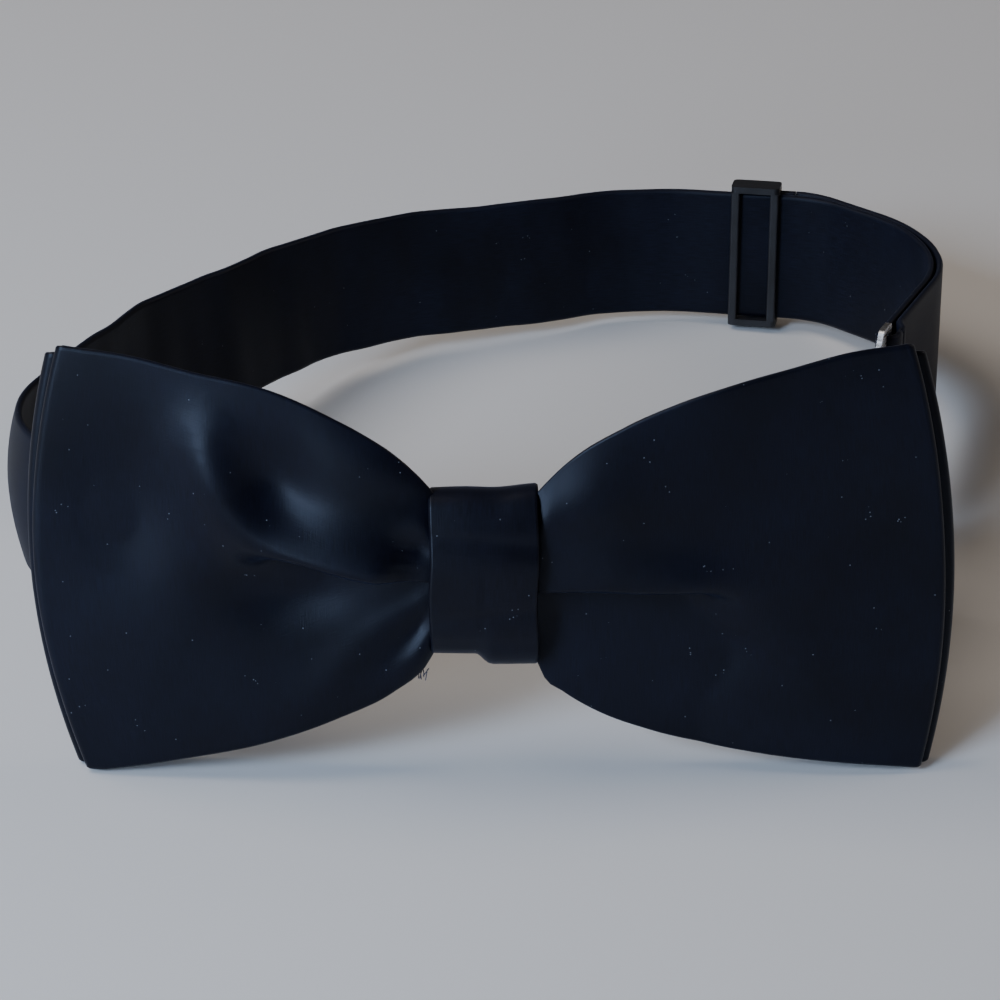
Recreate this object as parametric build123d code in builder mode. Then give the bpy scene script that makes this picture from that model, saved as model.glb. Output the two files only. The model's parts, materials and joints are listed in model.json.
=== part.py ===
from build123d import *
import math
import os

# A ready-tied bow tie: two satin loops gathered by a wrapped knot, on an adjustable neckband that
# closes with a hook and an eye. It stands on the bow's lower corners and on the slider, so the
# whole tie leans back by LEAN. Millimetres, +Z up, and the bow faces -Y.
#
# The plan is the plane through the middle of the band. Its X runs along the bow, its Y straight
# back from the strap behind the knot, and its Z up the band. A "spot" is a place on the plan with
# a heading: "along" runs with the heading, and "out" to its left, away from the neck.

# --- driving dimensions ---
LEAN = 7.8                 # how far the bow and the band lean back from upright, degrees
TIE_AT = (-2.41, -59.1, 30.13)  # centre of the strap behind the knot

BOW_HALF_WIDTH = 61.0      # at the middle of the wing's end
CORNER_X = 56.5            # at the wing's corners
CORNER_HEIGHT = 30.5
WAIST_HALF = 10.5          # half height of the gathered waist inside the knot
WING_STEPS = ((9.0, 14.5), (15.5, 20.0), (27.0, 24.6), (41.0, 28.0))  # half heights along a wing
PLY = 0.35                 # satin wall of a loop
LOOP_INSET = 0.9           # how far the front loop's outline lies inside the back loop's
SLACK = 0.12               # room round a stiffener in its cover

KNOT_LENGTH = 14.5
KNOT_HEIGHT = 26.8
KNOT_FRONT = -10.0         # depths are measured from the strap's middle, to the back
KNOT_BACK = 3.0
KNOT_RADIUS = 3.4
KNOT_WALL = 0.8
KNOT_LINING = 0.5
THREAD_WALL = 0.55
THREAD_LENGTH = 3.2
THREAD_ROOM = 0.08         # between the gathered waist and the thread round it
LINING_ROOM = 0.05         # between the knot's cover and its stiffener
STITCH = 0.22              # half the width of a stitch, and its height
KNOT_STITCHES = 6
POCKET_ROOM = 0.02         # round a stitch that is sunk into the cloth
KNOT_STITCH = (3.0, 3.4, 24)   # length, spacing, slant in degrees

STRAP_WIDTH = 22.0
STRAP = 1.0                # thickness of the satin tube with its stiffener
STRAP_LINING = 0.4
LINING_WIDTH = 19.6
RETURN_GAP = 1.3           # between the middles of the strap's two layers
PINCH = STRAP + 0.15       # the same where a turned-over end is sewn down
TAIL = 9.5                 # from a bar to the end that is turned over round it
STEP = (1.8, 4.2)          # from a bar, the start and end of the step down to the sewn layers
STEP_RADIUS = 1.5
TACKS = ((1.6, 2.0), (2, 10), 1.5)  # spacing, rows and columns, stitch length
EYE_TACK = 7.4             # from the eye's bar to the middle of its stitches
SLIDER_TACK = 5.2          # along the slider, to the middle of its stitches

FRONT_FACES = ((-7.8, 7.5), (-7.6, 15.0), (-5.2, 34.0), (-4.3, 58.0))  # depth, and distance out
BETWEEN_LOOPS = ((-4.7, 7.5), (-4.2, 15.0), (-3.1, 34.0), (-2.75, 58.0))
REAR_FACES = ((-1.45, 7.5), (-1.3, 15.0), (-1.1, 34.0), (-1.1, 58.0))
LOOP_GAP = 0.12

# --- hardware ---
WIRE = 0.6                 # radius of the eye's wire
SHEET = 0.8                # thickness of the hook's sheet metal
FOLD = 1.35                # radius of the strap's middle round a bar
TURN = FOLD - 0.01         # the same, just under half of the fold's width, so that the turn closes
BAR_HALF = 11.4            # half length of the opening that the strap passes through
EYE_BAR = 13.0             # along the closure from its middle, towards the bow
EYE_FAR_BAR = 6.5
EYE_CORNER = 1.4
HOOK_BAR = -7.0
HOOK_EDGE = 0.6            # half width of the hook's bar
HOOK_SLOT = 2.3            # from the bar's middle to the slot's far edge
HOOK_SHOULDER = 1.4        # from the slot to where the plate starts to narrow
HOOK_CORNER = 1.0
HOOK_NECK = 3.2            # along, where the plate has narrowed to the tongue
TONGUE_HALF = 4.5
TONGUE_OUT = 1.3           # half the space between the middles of the tongue's legs
TONGUE_TURN = 8.3          # along, where the tongue turns back
TONGUE_BEND = 0.9
CLOSURE = ((56.22, 50.0), -112.02)  # middle of the closure on the band's plan, and its heading
SLIDER = ((45.5, 125.2), -11.31)
SLIDER_HALF = 4.1
SLIDER_OPEN = 11.25        # half height of the slider's opening
SLIDER_CORNER = 0.9
RAIL = 1.1
OUTER_BAR = (1.5, 0.95)    # along and out
OUTER_BAR_RADIUS = 0.35
BAR_INSET = 0.8            # from the slider's end to an outer bar's middle
OUTER_BAR_ROOM = 0.15      # between the slider's outer bars and the strap
CENTRE_BAR = 2.35          # outward from the strap's middle
CENTRE_RADIUS = 0.6
CENTRE_FOLD = 1.2          # radius of the folded end's middle round the centre bar
SLIDER_LEAD = 6.5          # along, where the slider's fold meets the returning layer
FOLD_GAP = 2.3             # outward, where the folded end is sewn
SLIDER_STEP = (1.8, 3.8)   # along, the start and end of the fold's step down to there

# --- the strap's plan, from the eye round the neck to the hook ---
PLAN = ((36.0, 0.0), (-50.0, 0.0), (-70.8, 24.0), (-55.5, 66.2), (-22.5, 110.5), (27.5, 128.8))
PLAN_RADII = (30.0, 30.0, 24.0, 90.0, 40.0, 30.0)
BEND = ((56.0, 123.1), (67.3, 109.3), (73.0, 91.5))
BEND_RADII = (14.0, 30.0, 34.0)
LINING_REACH = 1.2         # from a bar of the closure to the stiffener's end
RETURN_LEVEL = 1.5         # past the slider's fold, where the returning layer turns inward
RETURN_STEP = 6.4          # before the hook's bar, where it steps out round the bar
RETURN_EASE = 4.0          # radius of its first turn
SEAM = 0.05                # between two solids that stand for one piece of cloth
CUT = 40.0                 # deeper than the bow and taller than half of it, for cutting

lean = math.radians(LEAN)
TIE = Plane(origin=TIE_AT, x_dir=(1, 0, 0), z_dir=(0, math.sin(lean), math.cos(lean)))
FACE = Plane(origin=TIE_AT, x_dir=(1, 0, 0), z_dir=(0, -math.cos(lean), math.sin(lean)))


def beside(spot, along, out):
    """The plan point that lies so far along a spot's heading and out to its left."""
    (x, y), heading = spot
    turn = math.radians(heading)
    return (
        x + along * math.cos(turn) - out * math.sin(turn),
        y + along * math.sin(turn) + out * math.cos(turn),
    )


def plane_at(spot, along=0.0, out=0.0, lift=0.0):
    """A plane on the band's plan with X along the spot's heading and Z up the band."""
    x, y = beside(spot, along, out)
    turn = math.radians(spot[1])
    ahead = TIE.from_local_coords(Vector(math.cos(turn), math.sin(turn), 0)) - TIE.origin
    return Plane(TIE.from_local_coords(Vector(x, y, lift)), x_dir=ahead, z_dir=TIE.z_dir)


def standing(points, radii, thickness, height):
    """A strip that stands on the plan: a filleted line, so thick and so tall."""
    with BuildPart() as strip:
        with BuildSketch(TIE):
            with BuildLine():
                FilletPolyline(*points, radius=radii)
            trace(line_width=thickness)
        extrude(amount=height / 2, both=True)
    return strip.part


def save(part, name):
    part.label = name
    export_step(part, f"parts/{name}.step")


os.makedirs("parts", exist_ok=True)

# ------------------------------------------------------------------ the bow's loops


def wing_outline(inset):
    """The bow seen from the front: swept-in waist, arched ends, inset on every side."""
    half = WAIST_HALF - inset
    steps = [(x, h - inset) for x, h in WING_STEPS]
    corner = (CORNER_X - inset, CORNER_HEIGHT - inset)
    with BuildSketch(FACE, mode=Mode.PRIVATE) as outline:
        with BuildLine():
            flare = Spline((KNOT_LENGTH / 2, half), *steps, corner)
            Line((0, half), flare @ 0)
            ThreePointArc(corner, (BOW_HALF_WIDTH - inset, 0), (corner[0], -corner[1]))
            mirror(about=Plane.XZ)
            mirror(about=Plane.YZ)
        make_face()
    return outline.sketch


def profile(front, back):
    """The bow seen from above, between a front and a back line of (depth, distance out)."""
    ahead = [(x, y) for y, x in front]
    behind = [(x, y) for y, x in back]
    waist_front = (0, ahead[0][1])
    waist_back = (0, behind[0][1])
    with BuildSketch(TIE, mode=Mode.PRIVATE) as shape:
        with BuildLine():
            Line(waist_front, ahead[0])
            outer = Spline(*ahead, (BOW_HALF_WIDTH, ahead[-1][1]))
            inner = Spline(*behind, (BOW_HALF_WIDTH, behind[-1][1]))
            Line(outer @ 1, inner @ 1)
            Line(behind[0], waist_back)
            mirror(about=Plane.YZ)
        make_face()
    return shape.sketch


def moved(line, by):
    return [(depth + by, out) for depth, out in line]


def loop(front, back, inset):
    """One loop's outer form: its outline from the front, cut by its profile from above."""
    with BuildPart() as body:
        add(extrude(wing_outline(inset), amount=CUT, both=True, mode=Mode.PRIVATE))
        add(extrude(profile(front, back), amount=CUT, both=True, mode=Mode.PRIVATE), mode=Mode.INTERSECT)
    return body.part


def cover_and_lining(front, back, inset):
    """A loop's hollow satin cover and the stiffener inside it."""
    room = loop(moved(front, PLY), moved(back, -PLY), inset + PLY)
    with BuildPart() as cover:
        add(loop(front, back, inset))
        add(room, mode=Mode.SUBTRACT)
    wall = PLY + SLACK
    return cover.part, loop(moved(front, wall), moved(back, -wall), inset + wall)


front_bow_cover, front_bow_interlining = cover_and_lining(
    FRONT_FACES, moved(BETWEEN_LOOPS, -LOOP_GAP / 2), LOOP_INSET
)
back_bow_cover, back_bow_interlining = cover_and_lining(
    moved(BETWEEN_LOOPS, LOOP_GAP / 2), REAR_FACES, 0
)
save(front_bow_cover, "front_bow_cover")
save(front_bow_interlining, "front_bow_interlining")
save(back_bow_cover, "back_bow_cover")
save(back_bow_interlining, "back_bow_interlining")

# ------------------------------------------------------------------ the knot


def cross_at(depth):
    """A plane across the bow's middle, with X to the front and Z along the bow."""
    return Plane(TIE.from_local_coords(Vector(0, depth, 0)), x_dir=FACE.z_dir, z_dir=(1, 0, 0))


def knot_ring(inset, wall, length):
    """A rounded loop round the waist and the strap, so far inside the knot's outer form."""
    depth = KNOT_BACK - KNOT_FRONT - 2 * inset
    height = KNOT_HEIGHT - 2 * inset
    radius = KNOT_RADIUS - inset
    with BuildPart() as hoop:
        with BuildSketch(cross_at((KNOT_FRONT + KNOT_BACK) / 2)):
            RectangleRounded(depth, height, radius)
            RectangleRounded(depth - 2 * wall, height - 2 * wall, radius - wall, mode=Mode.SUBTRACT)
        extrude(amount=length / 2, both=True)
    return hoop.part


def knot_seam(room):
    """The slanting closing stitches, sunk flush into the knot's back face, with room round them."""
    length, spacing, slant = KNOT_STITCH
    face = TIE.from_local_coords(Vector(0, KNOT_BACK, 0))
    with BuildPart() as seam:
        with BuildSketch(Plane(face, x_dir=(-1, 0, 0), z_dir=-FACE.z_dir)):
            with GridLocations(0, spacing, 1, KNOT_STITCHES):
                SlotOverall(length + 2 * room, 2 * STITCH + 2 * room, rotation=slant)
        extrude(amount=-STITCH - room)
    return seam.part


with BuildPart() as knot_wrap:
    add(knot_ring(0, KNOT_WALL, KNOT_LENGTH))
    add(knot_seam(POCKET_ROOM), mode=Mode.SUBTRACT)
save(knot_wrap.part, "knot_wrap")
save(knot_seam(0), "knot_stitches")
save(knot_ring(KNOT_WALL + LINING_ROOM, KNOT_LINING, KNOT_LENGTH - 1), "knot_interlining")

waist_front = FRONT_FACES[0][0]
waist_back = REAR_FACES[0][0]
with BuildPart() as gathering_thread:
    with BuildSketch(cross_at((waist_front + waist_back) / 2)):
        depth = waist_back - waist_front + 2 * THREAD_ROOM
        height = 2 * WAIST_HALF + 2 * THREAD_ROOM
        RectangleRounded(depth + 2 * THREAD_WALL, height + 2 * THREAD_WALL, THREAD_WALL)
        Rectangle(depth, height, mode=Mode.SUBTRACT)
    extrude(amount=THREAD_LENGTH / 2, both=True)
save(gathering_thread.part, "gathering_thread")

# ------------------------------------------------------------------ the strap


def turned_over(bar, side):
    """The strap's line round a bar of the closure, from the step down to its main layer."""
    return [
        beside(CLOSURE, bar + side * STEP[1], PINCH),
        beside(CLOSURE, bar + side * STEP[0], 2 * FOLD),
        beside(CLOSURE, bar - side * FOLD, 2 * FOLD),
        beside(CLOSURE, bar - side * FOLD, 0),
    ]


eye_fold = [beside(CLOSURE, EYE_BAR + TAIL, PINCH), *turned_over(EYE_BAR, 1)]
hook_fold = turned_over(HOOK_BAR, -1)[:0:-1]
strap_points = [*eye_fold, *PLAN, *BEND, *hook_fold]
strap_radii = [STEP_RADIUS, STEP_RADIUS, TURN, TURN, *PLAN_RADII, *BEND_RADII, TURN, TURN]


def strap_lining(room):
    """The stiffener inside the strap's main layer, or the room that is left for it."""
    reach = LINING_REACH - room
    points = [beside(CLOSURE, EYE_BAR + reach, 0), *PLAN, *BEND, beside(CLOSURE, HOOK_BAR - reach, 0)]
    return standing(points, [*PLAN_RADII, *BEND_RADII], STRAP_LINING + 2 * room, LINING_WIDTH + 2 * room)


with BuildPart() as neck_strap:
    add(standing(strap_points, strap_radii, STRAP, STRAP_WIDTH))
    add(strap_lining(SLACK), mode=Mode.SUBTRACT)
save(neck_strap.part, "neck_strap")
save(strap_lining(0), "neck_strap_interlining")


def outside_corner(before, corner, after, gap):
    """The corner of a line that runs beside two others, so far to their left."""
    back = math.atan2(corner[1] - before[1], corner[0] - before[0])
    ahead = math.atan2(after[1] - corner[1], after[0] - corner[0])
    half_turn = (ahead - back) / 2
    reach = gap / math.cos(half_turn)
    out = (back + ahead) / 2 + math.pi / 2
    return corner[0] + reach * math.cos(out), corner[1] + reach * math.sin(out)


bend_line = [SLIDER[0], *BEND, CLOSURE[0]]
return_points = [
    beside(SLIDER, SLIDER_LEAD + 2 * SEAM, FOLD_GAP),
    beside(SLIDER, SLIDER_LEAD + RETURN_LEVEL, FOLD_GAP),
    *(outside_corner(*corner, RETURN_GAP) for corner in zip(bend_line, bend_line[1:], bend_line[2:])),
    beside(CLOSURE, HOOK_BAR - RETURN_STEP, RETURN_GAP),
    beside(CLOSURE, HOOK_BAR - 2 * STEP[0], 2 * FOLD),
    beside(CLOSURE, HOOK_BAR - STEP[0] - SEAM, 2 * FOLD),
]
return_radii = (RETURN_EASE, *BEND_RADII, STEP_RADIUS, STEP_RADIUS)


def return_strip(thickness, width):
    """The returning layer, from the slider's fold to the end of the strap round the hook's bar."""
    return standing(return_points, return_radii, thickness, width)


with BuildPart() as strap_return:
    add(return_strip(STRAP, STRAP_WIDTH))
    add(return_strip(STRAP_LINING + 2 * SLACK, LINING_WIDTH + 2 * SLACK), mode=Mode.SUBTRACT)
save(strap_return.part, "strap_return")
save(return_strip(STRAP_LINING, LINING_WIDTH), "strap_return_interlining")


def tack(spot, along, out):
    """Rows of short stitches across the strap, lying on its outer face."""
    spacing, counts, length = TACKS
    flat = plane_at(spot, along, out)
    with BuildPart() as rows:
        with BuildSketch(Plane(flat.origin, x_dir=flat.x_dir, z_dir=flat.y_dir)):
            with GridLocations(*spacing, *counts):
                SlotOverall(length, 2 * STITCH, rotation=90)
        extrude(amount=STITCH)
    return rows.part


save(tack(CLOSURE, EYE_BAR + EYE_TACK, PINCH + STRAP / 2), "eye_fold_stitches")

# ------------------------------------------------------------------ the eye and the hook

with BuildPart() as eye:
    reach = (EYE_BAR - EYE_FAR_BAR) / 2
    top = BAR_HALF + WIRE
    flat = plane_at(CLOSURE, EYE_BAR - reach, FOLD)
    with BuildLine(Plane(flat.origin, x_dir=flat.x_dir, z_dir=-flat.y_dir)) as wire:
        corners = ((reach, top), (reach, -top), (-reach, -top), (-reach, top))
        FilletPolyline(*corners, radius=EYE_CORNER, close=True)
    with BuildSketch(wire.line ^ 0):
        Circle(WIRE)
    sweep(path=wire.line)
save(eye.part, "eye")

with BuildPart() as hook:
    half = BAR_HALF + 2 * HOOK_EDGE
    slot = HOOK_BAR + HOOK_SLOT
    flat = plane_at(CLOSURE, 0, FOLD)
    with BuildSketch(Plane(flat.origin, x_dir=flat.x_dir, z_dir=-flat.y_dir)):
        with BuildLine():
            Polyline(
                (HOOK_BAR - HOOK_EDGE, 0),
                (HOOK_BAR - HOOK_EDGE, half),
                (slot + HOOK_SHOULDER, half),
                (HOOK_NECK - SHEET, TONGUE_HALF),
                (HOOK_NECK, TONGUE_HALF),
                (HOOK_NECK, 0),
            )
            mirror(about=Plane.XZ)
        make_face()
        with Locations(((HOOK_BAR + HOOK_EDGE + slot) / 2, 0)):
            Rectangle(slot - HOOK_BAR - HOOK_EDGE, 2 * BAR_HALF, mode=Mode.SUBTRACT)
    extrude(amount=SHEET / 2, both=True)
    corners = hook.edges().filter_by(lambda edge: abs(edge.length - SHEET) < 0.01)
    outer = corners.sort_by(lambda edge: abs(flat.to_local_coords(edge.center()).Z))
    fillet(outer[-4:], HOOK_CORNER)
    with BuildSketch(flat):
        with BuildLine():
            FilletPolyline(
                (HOOK_NECK - SHEET / 4, 0),
                (HOOK_NECK + HOOK_CORNER, -TONGUE_OUT),
                (TONGUE_TURN, -TONGUE_OUT),
                (TONGUE_TURN, TONGUE_OUT),
                (HOOK_NECK + SHEET / 4, TONGUE_OUT),
                radius=(TONGUE_BEND, TONGUE_OUT - 0.01, TONGUE_OUT - 0.01),
            )
        trace(line_width=SHEET)
    extrude(amount=TONGUE_HALF, both=True)
save(hook.part, "hook")

# ------------------------------------------------------------------ the slider and the fold round it

with BuildPart() as slider_frame:
    low = -STRAP / 2 - OUTER_BAR_ROOM - OUTER_BAR[1]
    high = CENTRE_BAR + CENTRE_RADIUS
    for lift in (SLIDER_OPEN, -SLIDER_OPEN - RAIL):
        with BuildSketch(plane_at(SLIDER, 0, (low + high) / 2, lift)):
            RectangleRounded(2 * SLIDER_HALF, high - low, SLIDER_CORNER)
        extrude(amount=RAIL)
    with BuildSketch(plane_at(SLIDER)):
        bar_along = SLIDER_HALF - BAR_INSET
        bar_out = low + OUTER_BAR[1] / 2
        with Locations((-bar_along, bar_out), (bar_along, bar_out)):
            RectangleRounded(*OUTER_BAR, OUTER_BAR_RADIUS)
        with Locations((0, CENTRE_BAR)):
            Circle(CENTRE_RADIUS)
    extrude(amount=SLIDER_OPEN + SEAM, both=True)
save(slider_frame.part, "slider_frame")

inner_ply = CENTRE_BAR - CENTRE_FOLD
outer_ply = CENTRE_BAR + CENTRE_FOLD
slider_points = [
    beside(SLIDER, SLIDER_LEAD, inner_ply),
    beside(SLIDER, -CENTRE_FOLD, inner_ply),
    beside(SLIDER, -CENTRE_FOLD, outer_ply),
    beside(SLIDER, SLIDER_STEP[0], outer_ply),
    beside(SLIDER, SLIDER_STEP[1], FOLD_GAP),
    beside(SLIDER, SLIDER_LEAD, FOLD_GAP),
]
slider_radii = (CENTRE_FOLD - 0.01, CENTRE_FOLD - 0.01, STEP_RADIUS, STEP_RADIUS)
save(standing(slider_points, slider_radii, STRAP, STRAP_WIDTH), "slider_fold")
save(tack(SLIDER, SLIDER_TACK, FOLD_GAP + STRAP / 2), "slider_fold_stitches")
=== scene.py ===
import json
import math

import bpy
import numpy as np
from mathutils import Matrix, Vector


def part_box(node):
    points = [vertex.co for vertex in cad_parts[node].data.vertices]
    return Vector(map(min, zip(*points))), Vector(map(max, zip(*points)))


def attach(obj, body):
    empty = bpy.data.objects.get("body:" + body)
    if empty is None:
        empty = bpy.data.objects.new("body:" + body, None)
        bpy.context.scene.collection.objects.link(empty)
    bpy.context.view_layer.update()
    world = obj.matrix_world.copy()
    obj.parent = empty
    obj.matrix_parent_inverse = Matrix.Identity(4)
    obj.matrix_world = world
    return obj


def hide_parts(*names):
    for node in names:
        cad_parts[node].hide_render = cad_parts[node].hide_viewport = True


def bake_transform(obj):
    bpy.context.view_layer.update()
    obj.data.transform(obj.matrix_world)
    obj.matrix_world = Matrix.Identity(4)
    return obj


# A ready-tied satin bow tie. The soft pieces are strips of cloth in the tie's own frame, in
# millimetres: x along the bow, q to the back from the strap behind the knot, and w up the band.

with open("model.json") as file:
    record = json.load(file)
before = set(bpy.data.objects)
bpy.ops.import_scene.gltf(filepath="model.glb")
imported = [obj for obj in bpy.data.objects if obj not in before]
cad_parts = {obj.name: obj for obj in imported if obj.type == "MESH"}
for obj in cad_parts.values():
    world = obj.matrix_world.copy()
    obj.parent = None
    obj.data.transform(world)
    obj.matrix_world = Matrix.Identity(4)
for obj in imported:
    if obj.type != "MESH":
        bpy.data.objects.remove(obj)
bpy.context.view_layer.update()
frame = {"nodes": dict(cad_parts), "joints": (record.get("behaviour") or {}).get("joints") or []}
joints = {joint["name"]: joint for joint in frame["joints"]}

MM = 0.001
RIGHT = np.array([1.0, 0.0, 0.0])
UP = np.array(joints["hook_swing"]["axis"], float)
UP = UP / np.linalg.norm(UP)
BACK = np.cross(UP, RIGHT)
KNOT_MIDDLE = -3.5               # depth of the knot's middle
knot_low, knot_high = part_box("knot_wrap")
ORIGIN = (np.array(knot_low) + np.array(knot_high)) / 2 - KNOT_MIDDLE * MM * BACK


def place(points):
    """World positions, in metres, of points (x, q, w) in the tie's frame."""
    p = np.asarray(points, float)
    return ORIGIN + MM * (p[..., :1] * RIGHT + p[..., 1:2] * BACK + p[..., 2:3] * UP)


def ease(t):
    """A smooth step from 0 to 1."""
    t = np.clip(t, 0.0, 1.0)
    return t * t * (3 - 2 * t)


def rise(t, start, length):
    """A smooth step from 0 at start to 1 after a length."""
    return ease((t - start) / length)


def hill(t, middle, width):
    """A smooth bump of height 1."""
    return np.exp(-(((t - middle) / width) ** 2))


def along(table, t):
    """A smooth value from a short table of (place, value)."""
    places, values = (np.array(column, float) for column in zip(*table))
    slopes = np.gradient(values, places)
    t = np.clip(t, places[0], places[-1])
    i = np.clip(np.searchsorted(places, t, side="right") - 1, 0, len(places) - 2)
    step = places[i + 1] - places[i]
    u = (t - places[i]) / step
    start = (1 + 2 * u) * (1 - u) ** 2 * values[i] + u * (1 - u) ** 2 * step * slopes[i]
    end = u * u * (3 - 2 * u) * values[i + 1] - u * u * (1 - u) * step * slopes[i + 1]
    return start + end


# ---------------------------------------------------------------- strips of cloth

EDGE_STEPS = 3                   # faces across a strip's rounded edge
UV_UNIT = 10.0                   # millimetres of cloth to one unit of its texture
TIP = 0.25                       # a thread's radius at its ends, as a share of its full radius
SIDES = 8                        # of a thread


def normals(grid, closed):
    """Unit normals of a grid of points, across both of its directions."""
    if closed:
        ahead = np.roll(grid, -1, 0) - np.roll(grid, 1, 0)
    else:
        ahead = np.gradient(grid, axis=0)
    n = np.cross(ahead, np.gradient(grid, axis=1))
    return n / np.maximum(np.linalg.norm(n, axis=-1, keepdims=True), 1e-9)


def lengths(grid, axis):
    """Running length along a grid, starting at 0, with one more step to close it."""
    step = np.linalg.norm(np.diff(grid, axis=axis, append=np.take(grid, [0], axis)), axis=-1)
    return np.concatenate([[0], np.cumsum(step.mean(1 - axis))])


def cloth_ring(grid, thickness, closed):
    """The surface of a strip with rounded edges: points along it and round its section."""
    half = thickness / 2
    grid = grid.copy()
    for edge, inner in ((0, 1), (-1, -2)):
        inward = grid[:, inner] - grid[:, edge]
        grid[:, edge] += half * inward / np.linalg.norm(inward, axis=-1, keepdims=True)
    n = normals(grid, closed)
    angles = np.pi * np.arange(1, EDGE_STEPS) / EDGE_STEPS
    rows = []
    for side, edge, inner in ((1, grid[:, -1:], grid[:, -2:-1]), (-1, grid[:, :1], grid[:, 1:2])):
        rows.append((grid + side * half * n)[:, ::side])
        out = (edge - inner) / np.linalg.norm(edge - inner, axis=-1, keepdims=True)
        edge_normal = n[:, -1:] if side > 0 else n[:, :1]
        for a in angles:
            rows.append(edge + half * (side * np.cos(a) * edge_normal + np.sin(a) * out))
    return np.concatenate(rows, axis=1)


def end_caps(index, count):
    """Faces that close a strip's two ends, where count points lie across each of its sides."""
    around = index.shape[1]
    back, far = around // 2, 2 * count + EDGE_STEPS - 2
    caps = []
    for row, turn in ((index[0], 1), (index[-1], -1)):
        end = [[row[j], row[j + 1], row[far - 1 - j], row[far - j]] for j in range(count - 1)]
        end.append(list(row[count - 1:back + 1]))
        end.append([*row[back + count - 1:], row[0]])
        caps += [[int(k) for k in cap][::turn] for cap in end]
    return caps


def cloth(name, grid, thickness, material, closed=False):
    """A strip of cloth with rounded edges. grid[i, j] is its middle, i along it and j across."""
    ring = cloth_ring(grid, thickness, closed)
    long, around = ring.shape[:2]
    index = np.arange(long * around).reshape(long, around)
    i = np.arange(long if closed else long - 1)
    here, ahead = index[i], index[(i + 1) % long]
    faces = np.stack([here, ahead, np.roll(ahead, -1, 1), np.roll(here, -1, 1)], -1)
    faces = faces.reshape(-1, 4).tolist()
    u, v = lengths(ring, 0), lengths(ring, 1)
    ui, vj = np.meshgrid(i, np.arange(around), indexing="ij")
    corners = [(u[ui + a], v[vj + b]) for a, b in ((0, 0), (1, 0), (1, 1), (0, 1))]
    uv = np.stack([np.stack(c, -1) for c in corners], 2).reshape(-1, 2)
    if not closed:
        faces += end_caps(index, grid.shape[1])
    mesh = bpy.data.meshes.new(name)
    mesh.from_pydata(place(ring).reshape(-1, 3).tolist(), [], faces)
    every = np.zeros((len(mesh.loops), 2))
    every[:len(uv)] = uv / UV_UNIT
    mesh.uv_layers.new(name="cloth").data.foreach_set("uv", every.ravel())
    return finished(name, mesh, material)


def finished(name, mesh, material):
    """A smooth-shaded piece from a mesh."""
    mesh.polygons.foreach_set("use_smooth", [True] * len(mesh.polygons))
    mesh.materials.append(material)
    mesh.update()
    piece = bpy.data.objects.new(name, mesh)
    bpy.context.scene.collection.objects.link(piece)
    return piece


def tube_parts(path, radius):
    """Vertices and faces of a thread along a path of (x, q, w) points, tapered at its ends."""
    path = np.asarray(path, float)
    ahead = np.gradient(path, axis=0)
    ahead /= np.linalg.norm(ahead, axis=1, keepdims=True)
    other = np.array([0.31, 0.52, 0.79])      # a direction that no thread here runs along
    a = np.cross(ahead, other)
    a /= np.linalg.norm(a, axis=1, keepdims=True)
    b = np.cross(ahead, a)
    turn = 2 * np.pi * np.arange(SIDES) / SIDES
    from_end = np.minimum(np.arange(len(path)), np.arange(len(path))[::-1])
    size = radius * np.minimum(1, TIP + from_end)
    around = np.cos(turn)[None, :, None] * a[:, None] + np.sin(turn)[None, :, None] * b[:, None]
    points = (path[:, None] + size[:, None, None] * around).reshape(-1, 3)
    faces = []
    for i in range(len(path) - 1):
        for j in range(SIDES):
            k = (j + 1) % SIDES
            faces.append([i * SIDES + j, i * SIDES + k, (i + 1) * SIDES + k, (i + 1) * SIDES + j])
    faces.append(list(range(SIDES))[::-1])
    faces.append([(len(path) - 1) * SIDES + j for j in range(SIDES)])
    return points, faces


def threads(name, paths, radius, material):
    """Several separate threads as one piece."""
    points, faces = [], []
    for path in paths:
        p, f = tube_parts(path, radius)
        first = sum(len(q) for q in points)
        faces += [[first + k for k in face] for face in f]
        points.append(p)
    mesh = bpy.data.meshes.new(name)
    mesh.from_pydata(place(np.concatenate(points)).tolist(), [], faces)
    return finished(name, mesh, material)


# ---------------------------------------------------------------- materials


def nodes_of(name):
    """A new material, its shader, and functions that add a node and that link one to the shader."""
    material = bpy.data.materials.new(name)
    material.use_nodes = True
    tree = material.node_tree
    shader = tree.nodes["Principled BSDF"]

    def add(kind, links=(), **values):
        node = tree.nodes.new(kind)
        for key, value in values.items():
            if hasattr(node, key):
                setattr(node, key, value)
            else:
                node.inputs[key.replace("_", " ")].default_value = value
        for socket, source in links:
            tree.links.new(source, node.inputs[socket])
        return node

    def link(socket, source):
        tree.links.new(source, shader.inputs[socket])

    return material, shader, add, link


def ramp(add, source, stops):
    """A colour ramp of (place, colour) stops."""
    node = add("ShaderNodeValToRGB", [("Fac", source)])
    while len(node.color_ramp.elements) < len(stops):
        node.color_ramp.elements.new(0.5)
    for element, (at, colour) in zip(node.color_ramp.elements, stops):
        element.position = at
        element.color = (*colour, 1)
    return node.outputs["Color"]


def grey(value):
    return (value,) * 3


def preset(shader, values):
    """Plain values for a shader's sockets."""
    for socket, value in values.items():
        shader.inputs[socket].default_value = value


def relief(add, link, height, strength, distance):
    """Fine relief in the shader's normal."""
    node = add("ShaderNodeBump", [("Height", height)], Strength=strength, Distance=distance)
    link("Normal", node.outputs["Normal"])


# Scales are features to a metre.
TONE_SCALE = 55.0
LINT_SCALE = 1500.0
LINT_PATCH_SCALE = 420.0
LINT_SIZE = 0.13                 # of the space between two places where lint can lie
LINT_COLOUR = (0.10, 0.11, 0.13, 1)


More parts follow.
